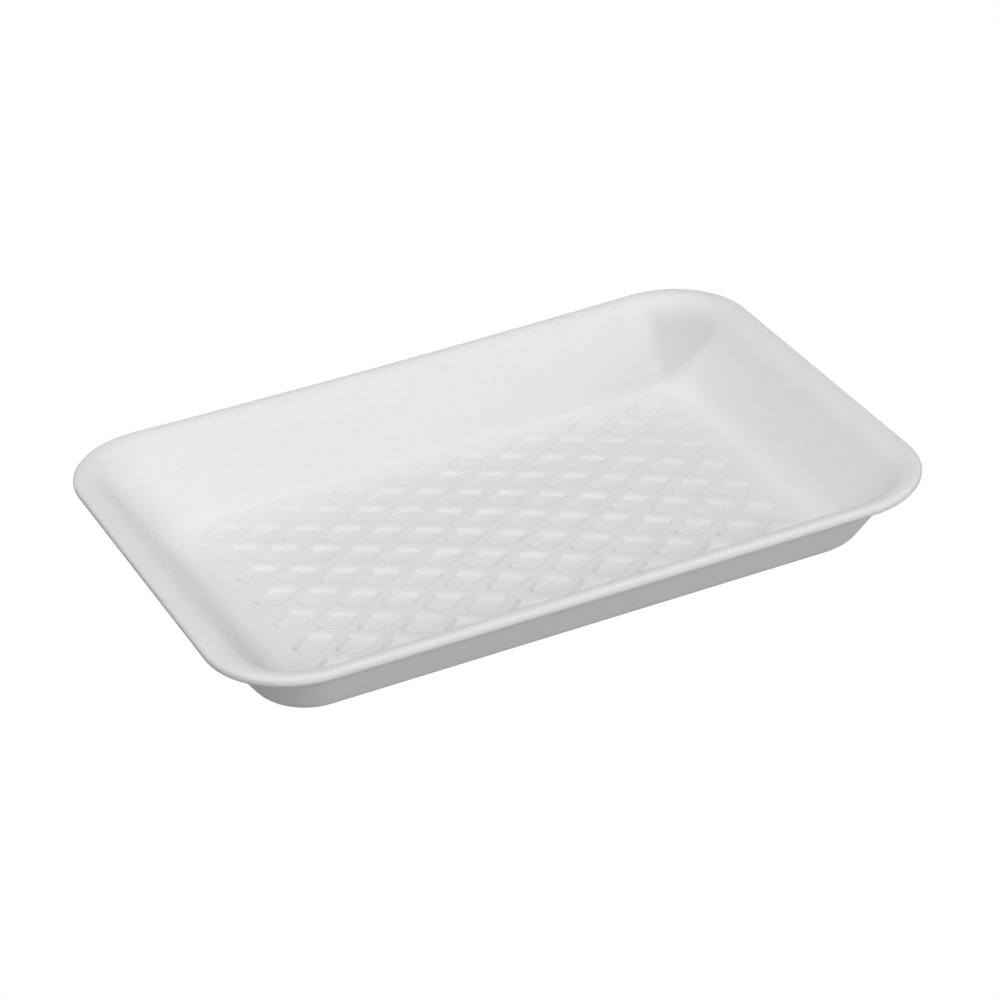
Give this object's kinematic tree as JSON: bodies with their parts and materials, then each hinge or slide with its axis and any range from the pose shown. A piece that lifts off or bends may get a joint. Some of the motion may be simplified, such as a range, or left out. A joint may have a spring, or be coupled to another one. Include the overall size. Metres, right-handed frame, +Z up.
{
  "type": "foam tray",
  "caption": "Shallow rectangular foam food tray with flared walls, a rolled rim and a lattice of rhombic pockets in its floor.",
  "frame": {"origin": "on the ground, under the middle of the tray", "axes": "+X along the length, +Y across the width, +Z up out of the tray's mouth"},
  "size_m": [0.2096, 0.1474, 0.0232],
  "materials": {
    "foam": "white expanded polystyrene foam with a smooth, faintly mottled skin"
  },
  "bodies": {
    "root": {"tray": "foam"}
  },
  "joints": []
}
